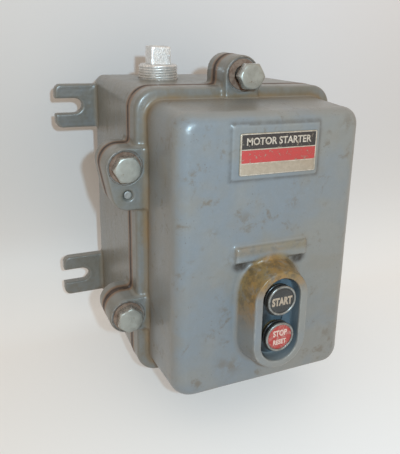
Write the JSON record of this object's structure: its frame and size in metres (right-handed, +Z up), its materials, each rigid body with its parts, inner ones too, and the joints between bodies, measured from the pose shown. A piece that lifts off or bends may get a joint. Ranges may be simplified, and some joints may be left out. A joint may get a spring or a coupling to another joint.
{
  "type": "magnetic motor starter",
  "caption": "Wall-mounted magnetic motor starter in a bolted grey cast-iron enclosure with a start and stop push-button station on the cover.",
  "frame": {"origin": "centre of the four mounting slots on the flat back plane", "axes": "+X right, +Y into the wall, +Z up; the cover and buttons face -Y"},
  "size_m": [0.242, 0.236, 0.2918],
  "materials": {
    "enclosure_paint": "satin grey-blue enamel over cast iron, worn and rust-stained",
    "bolt_steel": "dull plated steel",
    "rusty_washer": "rusted steel",
    "dowel_steel": "ground steel, dulled",
    "plug_zinc": "bright zinc plate",
    "plate_print": "printed plate with black and red bands",
    "button_plate_paint": "blue-grey painted steel",
    "bushing_bronze": "bronze",
    "cap_plastic": "black moulding",
    "bezel_nickel": "dull nickel",
    "start_black": "black enamel with cream legend",
    "stop_red": "worn red enamel with cream legend",
    "stem_steel": "ground steel",
    "spring_steel": "spring steel",
    "contact_copper": "copper and brass strip",
    "phenolic": "black phenolic moulding",
    "arc_cover_phenolic": "brown phenolic moulding",
    "panel_zinc": "zinc-plated sheet",
    "screw_steel": "zinc-plated steel",
    "terminal_brass": "brass",
    "ground_green": "green-dyed steel",
    "core_steel": "laminated silicon steel",
    "bobbin_nylon": "moulded bobbin",
    "coil_tape": "varnished cloth tape over copper",
    "heater_alloy": "resistance alloy",
    "reset_red": "red moulding"
  },
  "bodies": {
    "housing": {"rear_housing": "enclosure_paint", "dowel_pins": "dowel_steel", "conduit_plug": "plug_zinc", "mounting_panel": "panel_zinc", "panel_screws": "screw_steel", "ground_screw": "ground_green", "contactor_base": "phenolic", "contactor_screws": "screw_steel", "magnet_core": "core_steel", "coil_bobbin": "bobbin_nylon", "coil_winding": "coil_tape", "coil_terminals": "contact_copper", "coil_terminal_screws": "terminal_brass", "line_contacts": "contact_copper", "load_contacts": "contact_copper", "terminal_screws": "terminal_brass", "arc_cover": "arc_cover_phenolic", "arc_cover_screws": "screw_steel", "return_springs": "spring_steel", "link_straps": "contact_copper", "overload_base": "phenolic", "overload_screws": "screw_steel", "heater_elements": "heater_alloy", "heater_screws": "terminal_brass", "overload_terminals": "contact_copper", "overload_terminal_screws": "terminal_brass", "trip_housing": "phenolic", "reset_spring": "spring_steel"},
    "contact_carrier_unit": {"armature": "core_steel", "armature_rivets": "core_steel", "contact_carrier": "phenolic", "moving_contacts": "contact_copper", "contact_springs": "spring_steel"},
    "reset_rod": {"reset_plunger": "reset_red"},
    "cover": {"cover_shell": "enclosure_paint", "cover_bolts": "bolt_steel", "bolt_washers": "rusty_washer", "nameplate": "plate_print", "button_plate": "button_plate_paint", "button_bushings": "bushing_bronze", "station_base": "phenolic", "station_screws": "screw_steel", "station_contacts": "contact_copper", "station_terminal_screws": "terminal_brass", "start_spring": "spring_steel", "stop_spring": "spring_steel"},
    "start_button": {"start_cap": "cap_plastic", "start_bezel": "bezel_nickel", "start_legend": "start_black", "start_stem": "stem_steel", "start_clip": "stem_steel", "start_bridge": "contact_copper"},
    "stop_button": {"stop_cap": "cap_plastic", "stop_bezel": "bezel_nickel", "stop_legend": "stop_red", "stop_stem": "stem_steel", "stop_clip": "stem_steel", "stop_bridge": "contact_copper"}
  },
  "joints": [
    {"name": "cover_lift_off", "type": "slide", "parent": "housing", "child": "cover", "axis": [0, -1, 0], "range_m": [0, 0.13]},
    {"name": "start_press", "type": "slide", "parent": "cover", "child": "start_button", "axis": [0, 1, 0], "range_m": [0, 0.004], "stiffness_N_per_m": 600, "springref_m": -0.003, "deforming": ["start_spring"]},
    {"name": "stop_press", "type": "slide", "parent": "cover", "child": "stop_button", "axis": [0, 1, 0], "range_m": [0, 0.0045], "stiffness_N_per_m": 600, "springref_m": -0.003, "deforming": ["stop_spring"]},
    {"name": "contact_carrier_travel", "type": "slide", "parent": "housing", "child": "contact_carrier_unit", "axis": [0, 1, 0], "range_m": [0, 0.006], "stiffness_N_per_m": 800, "springref_m": -0.004, "deforming": ["return_springs"]},
    {"name": "reset_travel", "type": "slide", "parent": "housing", "child": "reset_rod", "axis": [0, 1, 0], "range_m": [0, 0.0045], "stiffness_N_per_m": 300, "springref_m": -0.002, "deforming": ["reset_spring"]}
  ],
  "couplings": [
    {"joint": "reset_travel", "follows": "stop_press", "ratio": 1}
  ]
}
